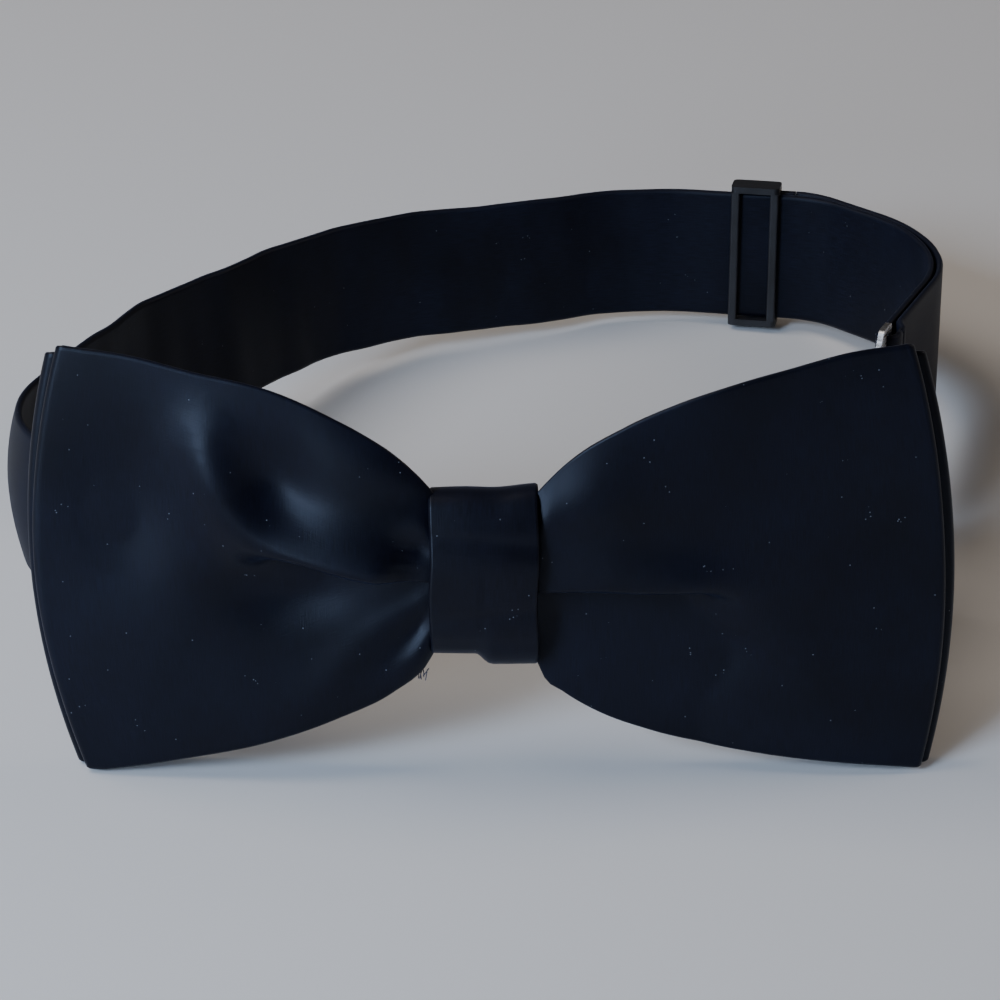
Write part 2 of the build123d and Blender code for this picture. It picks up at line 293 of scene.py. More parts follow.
def satin(name, dark, light, roughness, lint, grain):
    """Navy satin with a soft sheen. grain is how fine its threads are along and across the strip. The
    greater lint is, the more of the cloth has specks of lint."""
    material, shader, add, link = nodes_of(name)
    uv = add("ShaderNodeUVMap", uv_map="cloth").outputs["UV"]
    place_of = add("ShaderNodeTexCoord").outputs["Object"]
    stretched = add("ShaderNodeMapping", [("Vector", uv)], Scale=(*grain, 1.0)).outputs["Vector"]
    thread = add("ShaderNodeTexNoise", [("Vector", stretched)], Scale=1.0, Detail=3.0).outputs["Fac"]
    cross = add("ShaderNodeMapping", [("Vector", uv)], Scale=(*grain[::-1], 1.0)).outputs["Vector"]
    weft = add("ShaderNodeTexNoise", [("Vector", cross)], Scale=1.0, Detail=2.0).outputs["Fac"]
    tone = add("ShaderNodeTexNoise", [("Vector", place_of)], Scale=TONE_SCALE, Detail=4.0).outputs["Fac"]
    mixed = add("ShaderNodeMath", [(0, thread), (1, tone)], operation="MULTIPLY").outputs[0]
    colour = ramp(add, mixed, ((0.12, dark), (0.42, light)))
    speck = add("ShaderNodeTexVoronoi", [("Vector", place_of)], Scale=LINT_SCALE).outputs["Distance"]
    patch = add("ShaderNodeTexNoise", [("Vector", place_of)], Scale=LINT_PATCH_SCALE, Detail=1.0)
    near = add("ShaderNodeMath", [(0, speck)], operation="LESS_THAN")
    near.inputs[1].default_value = LINT_SIZE
    rare = add("ShaderNodeMath", [(0, patch.outputs["Fac"])], operation="GREATER_THAN")
    rare.inputs[1].default_value = 1 - lint
    both = add("ShaderNodeMath", [(0, near.outputs[0]), (1, rare.outputs[0])], operation="MULTIPLY")
    mix = add("ShaderNodeMixRGB", [("Fac", both.outputs[0]), ("Color1", colour)])
    mix.inputs["Color2"].default_value = LINT_COLOUR
    link("Base Color", mix.outputs["Color"])
    link("Roughness", ramp(add, tone, ((0.3, grey(roughness - 0.05)), (0.7, grey(roughness + 0.06)))))
    preset(shader, {
        "Anisotropic": 0.35,
        "Specular IOR Level": 0.17,
        "Specular Tint": (0.80, 0.86, 1.0, 1),
        "Sheen Weight": 0.03,
        "Sheen Roughness": 0.4,
        "Sheen Tint": (0.35, 0.45, 0.85, 1),
    })
    tangent = add("ShaderNodeTangent", direction_type="UV_MAP", uv_map="cloth")
    link("Tangent", tangent.outputs["Tangent"])
    height = add("ShaderNodeMath", [(0, thread), (1, weft)], operation="ADD").outputs[0]
    relief(add, link, height, 0.22, 0.00006)
    return material


def thread_material(name, colour):
    """Twisted sewing thread."""
    material, shader, add, link = nodes_of(name)
    place_of = add("ShaderNodeTexCoord").outputs["Object"]
    twist = add("ShaderNodeTexWave", [("Vector", place_of)], Scale=900.0, Distortion=2.0).outputs["Fac"]
    lighter = tuple(min(1, 2.2 * c) for c in colour)
    link("Base Color", ramp(add, twist, ((0.2, colour), (0.8, lighter))))
    preset(shader, {"Roughness": 0.6})
    relief(add, link, twist, 0.5, 0.00005)
    return material


def stiffener_material():
    """Off-white bonded fibres."""
    material, shader, add, link = nodes_of("stiffener")
    place_of = add("ShaderNodeTexCoord").outputs["Object"]
    fibres = add("ShaderNodeTexNoise", [("Vector", place_of)], Scale=900.0, Detail=5.0).outputs["Fac"]
    link("Base Color", ramp(add, fibres, ((0.3, (0.50, 0.49, 0.46)), (0.7, (0.70, 0.69, 0.66)))))
    preset(shader, {"Roughness": 0.9})
    relief(add, link, fibres, 0.4, 0.0001)
    return material


def nickel_material():
    """Nickel plate, faintly brushed, with fine scratches and duller patches."""
    material, shader, add, link = nodes_of("nickel")
    place_of = add("ShaderNodeTexCoord").outputs["Object"]
    brush = add("ShaderNodeMapping", [("Vector", place_of)], Scale=(300.0, 300.0, 4000.0))
    brushed = brush.outputs["Vector"]
    grain = add("ShaderNodeTexNoise", [("Vector", brushed)], Scale=1.0, Detail=4.0).outputs["Fac"]
    wear = add("ShaderNodeTexNoise", [("Vector", place_of)], Scale=260.0, Detail=3.0).outputs["Fac"]
    link("Base Color", ramp(add, wear, ((0.35, (0.42, 0.41, 0.40)), (0.65, (0.66, 0.66, 0.67)))))
    link("Roughness", ramp(add, grain, ((0.3, grey(0.2)), (0.7, grey(0.38)))))
    preset(shader, {"Metallic": 1.0})
    relief(add, link, grain, 0.15, 0.00003)
    return material


def enamel_material():
    """Black enamel, faintly uneven."""
    material, _, add, link = nodes_of("black_enamel")
    place_of = add("ShaderNodeTexCoord").outputs["Object"]
    wear = add("ShaderNodeTexNoise", [("Vector", place_of)], Scale=300.0, Detail=4.0).outputs["Fac"]
    link("Base Color", ramp(add, wear, ((0.3, (0.004, 0.004, 0.006)), (0.7, (0.009, 0.009, 0.012)))))
    link("Roughness", ramp(add, wear, ((0.3, grey(0.46)), (0.7, grey(0.60)))))
    relief(add, link, wear, 0.1, 0.00003)
    return material


NAVY_DARK = (0.0015, 0.0015, 0.0030)
NAVY_LIGHT = (0.0032, 0.0038, 0.0094)
bow_satin = satin("bow_satin", NAVY_DARK, NAVY_LIGHT, 0.38, 0.33, (75.0, 4.0))
knot_satin = satin("knot_satin", (0.0018, 0.0016, 0.0028), (0.0040, 0.0043, 0.0092), 0.40, 0.30, (4.0, 60.0))
band_satin = satin("band_satin", NAVY_DARK, (0.0048, 0.0058, 0.0135), 0.52, 0.30, (4.0, 60.0))
navy_thread = thread_material("navy_thread", (0.008, 0.010, 0.024))
frayed_thread = thread_material("frayed_thread", (0.012, 0.014, 0.030))
stiffener = stiffener_material()
nickel = nickel_material()
black_enamel = enamel_material()

# ---------------------------------------------------------------- the bow

SPAN = 60.0                      # nominal distance out to a wing's end
HALF_HEIGHT = 30.6
PLY = 0.6                        # satin, stiffener and satin
INNER = 0.2                      # the stiffener alone
LOOP_ROWS = 84                   # points across a loop
PLY_COLUMNS = 150                # points along its front ply
REAR_COLUMNS = 64
FOLD_COLUMNS = 9

# One wing each, by distance out from the knot's middle. top and bottom are how far its edges lie above
# and below that middle. fold is the height of the pleat's edge, overlap how far the cloth below reaches
# up behind it (below 0 the pleat has opened), and step how much deeper that cloth lies. keys are where
# the pleat turns, as shares of the ply from its bottom edge up, and under is the share of the step that
# is gone at the bottom edge. ridge is the line of the crest, ridge_size its height and width, and
# ridge_fade the shares of it over which its two ends fade. hollows are place, height, half sizes and
# depth. end is where the wing ends, and how that end slants and curves.
WING_LEFT = {
    "side": -1,
    "top": ((0, 10.2), (6.4, 11.2), (8.2, 13.6), (11.5, 16.9), (15.5, 19.9), (20, 22.5), (27, 25.8),
            (39, 28.4), (47, 30.0), (60, 31.2)),
    "bottom": ((0, 10.2), (6.4, 11.4), (8, 14.0), (12, 17.4), (20, 21.6), (28.5, 24.8), (45, 28.6),
               (60, 30.8)),
    "end": (59.8, 0.5, -4.6),
    "keys": (0.42, 0.54),
    "fold": ((0, -1.0), (7.5, -1.1), (15.5, 0.3), (24, 2.3), (34, 3.6), (60, 4.6)),
    "overlap": ((0, 8.0), (8, 8.0), (16, 6.2), (25, 1.8), (36, -5.0), (60, -7.3)),
    "step": ((0, 1.4), (8, 2.2), (16, 3.4), (25, 3.4), (36, 1.4), (48, 0.0), (60, 0.0)),
    "ridge": ((9, -0.2), (16, 1.3), (24, 3.0), (30, 6.4), (34, 10.9), (36, 16.8), (35, 22.0), (32.5, 26.0)),
    "ridge_size": (2.5, 4.3),
    "ridge_fade": (0.12, 0.4),
    "under": 0.8,
    "hollows": ((27.5, 12.5, 5.2, 7.2, 1.9), (24, -4.0, 10.0, 3.6, 0.7), (47, 8.0, 8.0, 12.0, 1.7)),
}
WING_RIGHT = {
    "side": 1,
    "top": ((0, 10.2), (6.4, 11.0), (8, 12.8), (10, 15.0), (12.6, 17.4), (18, 20.9), (25.5, 24.4),
            (33, 26.8), (41, 28.7), (49, 30.4), (60, 31.4)),
    "bottom": ((0, 10.2), (6.4, 11.8), (8, 16.0), (10.5, 18.2), (15.7, 21.6), (22.5, 24.4), (37.5, 27.7),
               (50, 29.2), (60, 30.2)),
    "end": (62.0, -1.9, -3.9),
    "keys": (0.33, 0.455),
    "fold": ((0, -2.4), (7.5, -2.6), (16, -2.1), (25, -2.7), (34, -2.6), (60, -2.3)),
    "overlap": ((0, 8.5), (8, 8.5), (16, 7.0), (25, 3.0), (36, -4.0), (60, -7.7)),
    "step": ((0, 1.4), (8, 2.6), (16, 4.0), (25, 4.2), (36, 2.0), (48, 0.3), (60, 0.0)),
    "ridge": ((9, -2.0), (17, -1.5), (25, -2.1), (29.5, -3.9), (35.5, -7.3), (40, -11.2), (44.5, -15.3),
              (50, -18.6)),
    "ridge_size": (1.4, 4.6),
    "ridge_fade": (0.4, 0.6),
    "under": 0.1,
    "hollows": ((24, -10.5, 12.0, 6.0, 1.4), (50, 4.0, 12.0, 14.0, 0.8)),
}
# Depth of each ply at the middle of its height, by distance out.
DEPTHS = {
    "front": ((0, -8.2), (8, -8.4), (15, -8.9), (25, -8.3), (36, -7.0), (48, -5.7), (60, -4.7)),
    "front_back": ((0, -4.6), (8, -4.6), (20, -4.1), (36, -3.6), (60, -3.5)),
    "rear": ((0, -3.8), (8, -3.8), (20, -3.3), (36, -2.8), (60, -2.7)),
    "rear_back": ((0, -1.7), (8, -1.6), (20, -1.4), (60, -1.3)),
}
EDGE_CURL = {"front": 1.7, "front_back": 0.5, "rear": 0.4, "rear_back": 0.0}
CURL_FADE = (8, 26)              # where the curl of the long edges starts to fade, and over how far
LEAST_GAP = 0.72                 # between the middles of two plies that touch
HIDDEN = 0.42                    # how much lower a ply's top edge lies for each millimetre farther back
LOWEST = 30.4                    # a wing's lower corner, which stands on the floor
END_ROOM = 1.2                   # a turned end's reach past the end of its plies
WAIST_STEPS = 9                  # columns over which the two wings become one inside the knot
# The pleat is sharp at the knot and softens outward: how many samples it is smoothed over there, how
# many more at the end, and from where over how far.
SHARP, SOFTER = 0.8, 4.6
SOFTENS = (17, 24)
CREST_JOINS = (20, 12)           # from where, and over how far, the crest raises the cloth below it too


def blurred(rows, widths):
    """rows smoothed along their last axis, by a width in samples that differs from row to row. What
    lies past an end is its mirror image turned over, so that both ends stay where they are."""
    count = rows.shape[1]
    far = np.arange(count)[:, None] - np.arange(count)[None]
    mirrored = [far, np.arange(count)[:, None] + np.arange(count)[None],
                2 * (count - 1) - np.arange(count)[:, None] - np.arange(count)[None]]
    result = np.empty_like(rows)
    ends = np.linspace(0, 1, count)
    for k, (row, width) in enumerate(zip(rows, widths)):
        line = row[0] + (row[-1] - row[0]) * ends
        rest = row - line
        weight = [np.exp(-((m / width) ** 2) / 2) for m in mirrored]
        kernel = weight[0] - weight[1] - weight[2]
        result[k] = line + kernel @ rest / weight[0].sum(1)
    return result


def from_curve(points, x, w):
    """Distance from a smooth curve through points, and the share of its length at the nearest place."""
    points = np.array(points, float)
    t = np.linspace(0, len(points) - 1, 90)
    curve = np.stack([along(list(enumerate(points[:, k])), t) for k in (0, 1)], -1)
    away = np.hypot(x[..., None] - curve[:, 0], w[..., None] - curve[:, 1])
    nearest = away.argmin(-1)
    return np.take_along_axis(away, nearest[..., None], -1)[..., 0], nearest / (len(t) - 1)


def pleat(wing, out, across, bottom, top):
    """A pleated ply's heights, and how much deeper the cloth below its fold lies."""
    a, b = wing["keys"]
    fold, overlap, step = (along(wing[key], out) for key in ("fold", "overlap", "step"))
    w, deeper = np.empty((2, len(out), len(across)))
    forward = 1 - wing["under"] * ease((a - across) / a)
    for k in range(len(out)):
        heights = (bottom[k], fold[k] + overlap[k], fold[k], top[k])
        w[k] = np.interp(across, (0, a, b, 1), heights)
        deeper[k] = step[k] * np.interp(across, (0, a, b, 1), (1, 1, 0, 0)) * forward
    return w, deeper


def crest(wing, x, w, out, across):
    """How far the ridge that runs out from the pleat raises the ply."""
    away, share_of = from_curve(wing["ridge"], x, w)
    size, width = wing["ridge_size"]
    start, end = wing["ridge_fade"]
    fade = ease(share_of / start) * ease((1 - share_of) / end)
    a, b = wing["keys"]
    upper = rise(across, a, b - a)
    raised = upper + (1 - upper) * rise(out, *CREST_JOINS)[:, None]
    return size * np.exp(-((away / width) ** 2)) * fade * raised


def wing_ply(wing, ply, out, across, longer=0.0, lower=0.0, pleated=False):
    """A wing's part of one ply: points by distance out and by share of its height."""
    d, share = np.meshgrid(out, across, indexing="ij")
    farther = along(DEPTHS[ply], out) - along(DEPTHS["front"], out)
    lowered = lower * rise(out, SPAN / 2, SPAN / 2)
    top = along(wing["top"], out) - HIDDEN * farther - lowered
    bottom = np.maximum(-along(wing["bottom"], out) - lowered, -LOWEST)
    depth = np.repeat(along(DEPTHS[ply], out)[:, None], len(across), 1)
    if pleated:
        w, deeper = pleat(wing, out, across, bottom, top)
        soft = SHARP + SOFTER * rise(out, *SOFTENS)
        w, depth = blurred(w, soft), blurred(depth + deeper, soft)
    else:
        w = bottom[:, None] + (top - bottom)[:, None] * share
    height = np.maximum(np.abs(top), np.abs(bottom))[:, None]
    t = w / height
    depth += EDGE_CURL[ply] * np.abs(t) ** 3 * (1 - rise(d, *CURL_FADE))
    end = wing["end"][0] + wing["end"][1] * w / HALF_HEIGHT + wing["end"][2] * (w / HALF_HEIGHT) ** 2
    x = d + (end + longer - END_ROOM - SPAN) * (d / SPAN) ** 4
    if pleated:
        depth -= crest(wing, x, w, out, across)
        for at, up, wide, tall, deep in wing["hollows"]:
            depth += deep * hill(x, at, wide) * hill(w, up, tall)
        depth += puckers(wing["side"], d, w)
    return np.stack([wing["side"] * x, depth, w], -1)


def puckers(side, d, w):
    """Small radial gathers that run out from the knot."""
    angle = np.arctan2(w, d + 6.0)
    reach = ease((d - 6.5) / 2) * np.exp(-np.maximum(d - 8, 0) / 7.5)
    waves = np.sin(9 * angle + 0.7 * side) + 0.7 * np.sin(17 * angle - 1.1 * side + 0.3 * d)
    return 0.34 * reach * waves * ease(np.abs(angle) / 0.45) * (1.5 if side < 0 else 0.8)


def across_bow(ply, count, **options):
    """A whole ply from the left end to the right end, and its rows evenly spread."""
    out = SPAN * np.linspace(0, 1, count // 2)
    share = np.linspace(0, 1, LOOP_ROWS)
    left = wing_ply(WING_LEFT, ply, out, share, **options)[:0:-1]
    right = wing_ply(WING_RIGHT, ply, out, share, **options)
    middle = (left[-1:] * [-1, 1, 1] + right[1:2]) / 2 * [0, 1, 1]
    for k in range(1, WAIST_STEPS):
        t = k / WAIST_STEPS
        left[-k] = left[-k] * t + (middle[0] + left[-k] * [1, 0, 0]) * (1 - t)
        right[k] = right[k] * t + (middle[0] + right[k] * [1, 0, 0]) * (1 - t)
    return np.concatenate([left, middle, right[1:]])


def turned(a, b):
    """The rounded end that joins two plies, from the front one to the back one."""
    middle, reach = (a + b) / 2, (b - a) / 2
    angles = np.pi * np.arange(1, FOLD_COLUMNS) / FOLD_COLUMNS
    size = np.linalg.norm(reach, axis=-1, keepdims=True)
    out = np.array([np.sign(a[len(a) // 2, 0]), 0, 0])
    return np.stack([middle - np.cos(t) * reach + np.sin(t) * size * out for t in angles])


def loop_grid(front_ply, back_ply, longer=0.0, lower=0.0, pleated=False):
    """A closed loop of the bow: its front ply, a turned end, its back ply, and the other end."""
    columns = PLY_COLUMNS if pleated else REAR_COLUMNS
    front = across_bow(front_ply, columns, longer=longer, lower=lower, pleated=pleated)
    back = across_bow(back_ply, REAR_COLUMNS, longer=longer, lower=lower)
    if pleated:
        front[..., 1] = np.minimum(front[..., 1], behind(back, front) - LEAST_GAP)
    right = turned(front[-1], back[-1])
    left = turned(front[0], back[0])[::-1]
    return np.concatenate([front, right, back[::-1], left])


def behind(back, front):
    """The back ply's depth at each place of the front ply."""
    order = np.argsort(back[:, LOOP_ROWS // 2, 0])
    return np.interp(front[..., 0], back[order, LOOP_ROWS // 2, 0], back[order, LOOP_ROWS // 2, 1])


def bow_loop(name, front_ply, back_ply, **options):
    """One of the bow's two loops: its cover and the stiffener inside."""
    grid = loop_grid(front_ply, back_ply, **options)
    cover = cloth(f"{name}_bow_satin", grid, PLY, bow_satin, closed=True)
    inner = grid[:, 2:-2]
    lining = cloth(f"{name}_bow_stiffener", inner, INNER, stiffener, closed=True)
    for piece, node, slot in ((cover, "cover", "satin"), (lining, "interlining", "lining")):
        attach(piece, "bow")
        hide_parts(f"{name}_bow_{node}")


bow_loop("front", "front", "front_back", pleated=True)
bow_loop("back", "rear", "rear_back", longer=1.2, lower=0.8)

# ---------------------------------------------------------------- the knot

KNOT_LENGTH = 14.5
KNOT_ROWS = 110
KNOT_COLUMNS = 30
KNOT_HALF_DEPTH, KNOT_HALF_HEIGHT = 6.1, 12.9
KNOT_POWER = 0.62                # a section's corners are squarer the smaller this is
KNOT_WRAP, KNOT_INNER = 0.8, 0.3       # thickness of the wrap and of its stiffener
INNER_INSET = 0.75
# Creases across the knot's front: height, slant, width and depth.
KNOT_CREASES = ((5.6, -0.7, 1.1, 0.26), (-5.2, 0.9, 1.0, 0.2), (9.2, 0.4, 0.8, 0.14), (-9.4, 0.0, 0.9, 0.12))


def squared(value, power):
    """A cosine or sine pushed towards its ends, so that a circle of them becomes squarer."""
    return np.sign(value) * np.abs(value) ** power


def knot_section(inset):
    """Evenly spaced points round the knot's section."""
    angle = np.linspace(0, 2 * np.pi, 1440, endpoint=False)
    section = np.stack([-(KNOT_HALF_DEPTH - inset) * squared(np.cos(angle), KNOT_POWER),
                        (KNOT_HALF_HEIGHT - inset) * squared(np.sin(angle), KNOT_POWER)], -1)
    step = np.linalg.norm(np.roll(section, -1, 0) - section, axis=1)
    run = np.concatenate([[0], np.cumsum(step)])
    wanted = np.linspace(0, run[-1], KNOT_ROWS, endpoint=False)
    round_again = np.append(section, section[:1], 0)
    return np.stack([np.interp(wanted, run, round_again[:, k]) for k in (0, 1)], -1)


def knot_grid(inset, length, columns):
    """The wrapped strip's middle surface: a closed loop round the waist, with shallow creases."""
    ring = knot_section(inset)
    across = np.linspace(-1, 1, columns)
    q, w = (np.repeat(ring[:, k:k + 1], columns, 1) for k in (0, 1))
    t = np.repeat(across[None], KNOT_ROWS, 0)
    upper, lower = ease(w / 9), ease(-w / 9)
    # The top slopes down to the back, and the bottom edge has a step at its middle.
    w = w - upper * (2.2 + 0.38 * q - 0.35 * t + 0.35 * hill(t, 0.25, 0.45))
    w = w - lower * (1.6 * rise(t, -0.15, 0.3) - 0.9)
    facing = rise(-q, 1.5, 3)
    crown = 0.32 * (1 - t * t)
    creases = sum(deep * hill(w, at + slant * t, wide) for at, slant, wide, deep in KNOT_CREASES)
    lap = 0.132 * rise(t, -0.12, 0.1) * ease((2.5 - w) / 3)
    belly = 0.8 * hill(w, 1.5, 5.0)
    q = q + KNOT_MIDDLE + facing * (creases - crown - belly + lap)
    x = t * length / 2 + 0.05 + 0.12 * np.sin(w * 0.45) * np.abs(t) ** 3
    return np.stack([x, q, w], -1)[::-1]


knot = cloth("knot_satin", knot_grid(0, KNOT_LENGTH, KNOT_COLUMNS), KNOT_WRAP, knot_satin, closed=True)
inner_grid = knot_grid(INNER_INSET, KNOT_LENGTH - 1, 10)
knot_lining = cloth("knot_stiffener", inner_grid, KNOT_INNER, stiffener, closed=True)
for piece, node, slot in ((knot, "knot_wrap", "satin"), (knot_lining, "knot_interlining", "lining")):
    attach(piece, "bow")
    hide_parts(node)


HAND_THREAD, WINDING_THREAD, TACK_THREAD, FRAY_THREAD = 0.2, 0.22, 0.16, 0.07    # radii


def slanting_stitch(x, q, w, length, slant, lift):
    """One stitch on a face that looks to the back: in at one end, out at the other."""
    t = np.linspace(-1, 1, 9)
    a, half = math.radians(slant), length / 2
    return np.stack([x + t * half * math.cos(a), q + lift * (1 - t * t), w + t * half * math.sin(a)], -1)


seam_heights = np.linspace(-8.0, 4.5, 6)       # the seam follows the slight curve of the knot's back
knot_seam = [slanting_stitch(0.2 * (-1) ** k, 2.98 - 0.011 * (w + 1.8) ** 2, w, 2.6, 24, 0.26)
             for k, w in enumerate(seam_heights)]
seam = threads("knot_stitching", knot_seam, HAND_THREAD, navy_thread)
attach(seam, "bow")
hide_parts("knot_stitches")


WINDING_MIDDLE = -4.9            # depth of the waist that the thread goes round
WINDING_WIDTH = 2.6


def winding(turns, half_q, half_w):
    """A thread wound round the gathered waist."""
    t = np.linspace(0, 2 * np.pi * turns, 48 * turns)
    x = -WINDING_WIDTH / 2 + WINDING_WIDTH * t / t[-1]
    q = WINDING_MIDDLE + half_q * squared(np.cos(t), 0.5)
    return np.stack([x, q, half_w * squared(np.sin(t), 0.5)], -1)


wound = threads("gathering_winding", [winding(4, 3.7, 7.8)], WINDING_THREAD, navy_thread)
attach(wound, "bow")
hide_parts("gathering_thread")

# ---------------------------------------------------------------- the neckband

STRAP = 1.0                            # thickness of satin, stiffener and satin
STRAP_WIDTH = 22.0
LINING = 0.3
FOLD = 1.35                            # radius of the strap's middle round a bar of the hook or the eye
CLOSURE = ((56.22, 50.0), -112.02)     # a spot on the band's plan, and its heading
SLIDER = ((45.5, 125.2), -11.31)
EYE_BAR = 13.0                         # along the closure's heading
HOOK_BAR = -7.0
# Distances from the strap's middle out to that of the layer beside it: at the eye's tack, and along
# the returning end. The slider's middle bar is farther out.
PINCH = 1.15
RETURN_GAP = 1.3
CENTRE_BAR = 2.35
# Corners of the band's plan: round the left to the slider, and from there to the hook.
PLAN = ((36.0, 0.0), (-50.0, 0.0), (-70.8, 24.0), (-55.5, 66.2), (-22.5, 110.5), (27.5, 128.8))
PLAN_RADII = (30.0, 30.0, 24.0, 90.0, 40.0, 30.0)
BEND = ((56.0, 123.1), (67.3, 109.3), (73.0, 91.5))
BEND_RADII = (14.0, 30.0, 34.0)
BAND_ROWS = 26


def beside(spot, ahead, out):
    """The plan point so far along a spot's heading and out to its left."""
    (x, q), heading = spot
    a = math.radians(heading)
    return x + ahead * math.cos(a) - out * math.sin(a), q + ahead * math.sin(a) + out * math.cos(a)


def rounded(points, radii, step=1.0):
    """Evenly spaced points on a line with rounded corners."""
    points = [np.array(p, float) for p in points]
    line = [points[0]]
    for before, corner, after, radius in zip(points, points[1:], points[2:], radii):
        a, b = before - corner, after - corner
        a, b = a / np.linalg.norm(a), b / np.linalg.norm(b)
        half = math.acos(np.clip(a @ b, -1, 1)) / 2
        centre = corner + (a + b) / np.linalg.norm(a + b) * radius / math.sin(half)
        first = corner + a * radius / math.tan(half)
        last = corner + b * radius / math.tan(half)
        start = math.atan2(*(first - centre)[::-1])
        turn = (math.atan2(*(last - centre)[::-1]) - start + math.pi) % (2 * math.pi) - math.pi
        count = max(6, int(abs(turn) * radius / 0.4))
        for t in np.linspace(0, 1, count):
            line.append(centre + radius * np.array([math.cos(start + t * turn), math.sin(start + t * turn)]))
    line.append(points[-1])
    line = np.array(line)
    run = np.concatenate([[0], np.cumsum(np.linalg.norm(np.diff(line, axis=0), axis=1))])
    count = int(run[-1] / step) + 1
    wanted = np.linspace(0, run[-1], count)
    return np.stack([np.interp(wanted, run, line[:, k]) for k in (0, 1)], -1), wanted


def strip(line, waves=None, narrowed=1.0):
    """A strip of cloth that stands on a plan line, with a soft waviness."""
    ahead = np.gradient(line, axis=0)
    ahead = ahead / np.linalg.norm(ahead, axis=1, keepdims=True)
    out = np.stack([-ahead[:, 1], ahead[:, 0]], -1)
    w = np.linspace(-STRAP_WIDTH / 2, STRAP_WIDTH / 2, BAND_ROWS)
    off = np.zeros((len(line), BAND_ROWS)) if waves is None else waves(w)
    x = line[:, :1] + off * out[:, :1]
    q = line[:, 1:] + off * out[:, 1:]
    return np.stack([x, q, w[None] * np.broadcast_to(narrowed, (len(line), 1))], -1)


def turned_over(bar, side):
    """Plan points where the strap turns over a bar of the closure, from its outer layer to its inner."""
    return [beside(CLOSURE, bar + side * s, n) for s, n in
            ((4.2, PINCH), (1.8, 2 * FOLD), (-FOLD, 2 * FOLD), (-FOLD, 0))]


TURN = FOLD - 0.01
eye_fold = [beside(CLOSURE, EYE_BAR + 9.5, PINCH), *turned_over(EYE_BAR, 1)]
hook_fold = turned_over(HOOK_BAR, -1)[:0:-1]
strap_line, strap_run = rounded(
    [*eye_fold, *PLAN, *BEND, *hook_fold], [1.5, 1.5, TURN, TURN, *PLAN_RADII, *BEND_RADII, TURN, TURN]
)


def run_at(point):
    """How far along the strap a plan point is."""
    return strap_run[np.hypot(*(strap_line - np.array(point)).T).argmin()]


KNOT_RUN = run_at((0, 0))
SLIDER_RUN = run_at(SLIDER[0])
LEFT_RUN = run_at((-70, 30))


def strap_waves(w):
    """Gentle buckles in the free back of the band, and none at the knot and the hardware."""
    run = strap_run[:, None]
    free = ease((run - LEFT_RUN - 6) / 22) * ease((SLIDER_RUN - 12 - run) / 16)
    t = w[None] / (STRAP_WIDTH / 2)
    slow = 0.30 * np.sin(run * 0.21 + 0.35 * t) + 0.20 * np.sin(run * 0.39 + 1.3 - 0.5 * t)
    fine = 0.10 * np.sin(run * 0.83 + 0.8 * t) * (1 - 0.6 * t * t)
    flare = -0.9 * t * hill(run, LEFT_RUN + 26, 16) + 0.8 * t * hill(run, LEFT_RUN + 66, 18)
    barrel = -1.9 * t * t * hill(run, LEFT_RUN, 17)
    return free * (slow + fine) + flare + barrel


def gathered_at_knot(run):
    """The strap's width inside the knot, as a share of its full width."""
    return 1 - 0.31 * ease((28 - np.abs(run - KNOT_RUN)) / 12)


def band_piece(name, grid, thickness, material, node, body="band"):
    """A strip of the band with what it stands for, attached to the body when one is given."""
    piece = cloth(name, grid, thickness, material)
    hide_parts(node)
    if body:
        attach(piece, body)
    return piece


strap_grid = strip(strap_line, strap_waves, narrowed=gathered_at_knot(strap_run[:, None]))
band_piece("neck_strap_satin", strap_grid, STRAP, band_satin, "neck_strap")
# The stiffener ends before the folds at the eye and the hook.
lining_from = int(np.searchsorted(strap_run, run_at(beside(CLOSURE, EYE_BAR, 0)) + 3))
lining_to = int(np.searchsorted(strap_run, run_at(beside(CLOSURE, HOOK_BAR, 0)) - 3))
lining_grid = strap_grid[lining_from:lining_to, 2:-2:2]
band_piece("neck_strap_stiffener", lining_grid, LINING, stiffener, "neck_strap_interlining")


def outside_corner(before, corner, after, gap):
    """The corner of a line that runs a gap outside two sides of the plan."""
    back = math.atan2(corner[1] - before[1], corner[0] - before[0])
    ahead = math.atan2(after[1] - corner[1], after[0] - corner[0])
    reach = gap / math.cos((ahead - back) / 2)
    out = (back + ahead) / 2 + math.pi / 2
    return corner[0] + reach * math.cos(out), corner[1] + reach * math.sin(out)


SLIDER_LEAD = 6.5                      # from the slider's middle to where its fold meets the return
FOLD_GAP = 2.3                         # from the strap's middle out to the fold's
bend_line = [SLIDER[0], *BEND, CLOSURE[0]]
return_line, return_run = rounded([
    beside(SLIDER, SLIDER_LEAD + 0.1, FOLD_GAP),
    beside(SLIDER, SLIDER_LEAD + 1.5, FOLD_GAP),
    *(outside_corner(*corner, RETURN_GAP) for corner in zip(bend_line, bend_line[1:], bend_line[2:])),
    beside(CLOSURE, HOOK_BAR - 6.4, RETURN_GAP),
    beside(CLOSURE, HOOK_BAR - 3.6, 2 * FOLD),
    beside(CLOSURE, HOOK_BAR - 1.85, 2 * FOLD),
], (4.0, *BEND_RADII, 1.5, 1.5))
return_grid = strip(return_line)
return_pieces = [
    band_piece("strap_return_satin", return_grid, STRAP, band_satin, "strap_return",
               None),
    band_piece("strap_return_stiffener", return_grid[2:-2, 2:-2:2], LINING, stiffener,
               "strap_return_interlining", None),
]


for piece in return_pieces:
    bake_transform(piece)

# ---------------------------------------------------------------- the slider's fold and the tacks

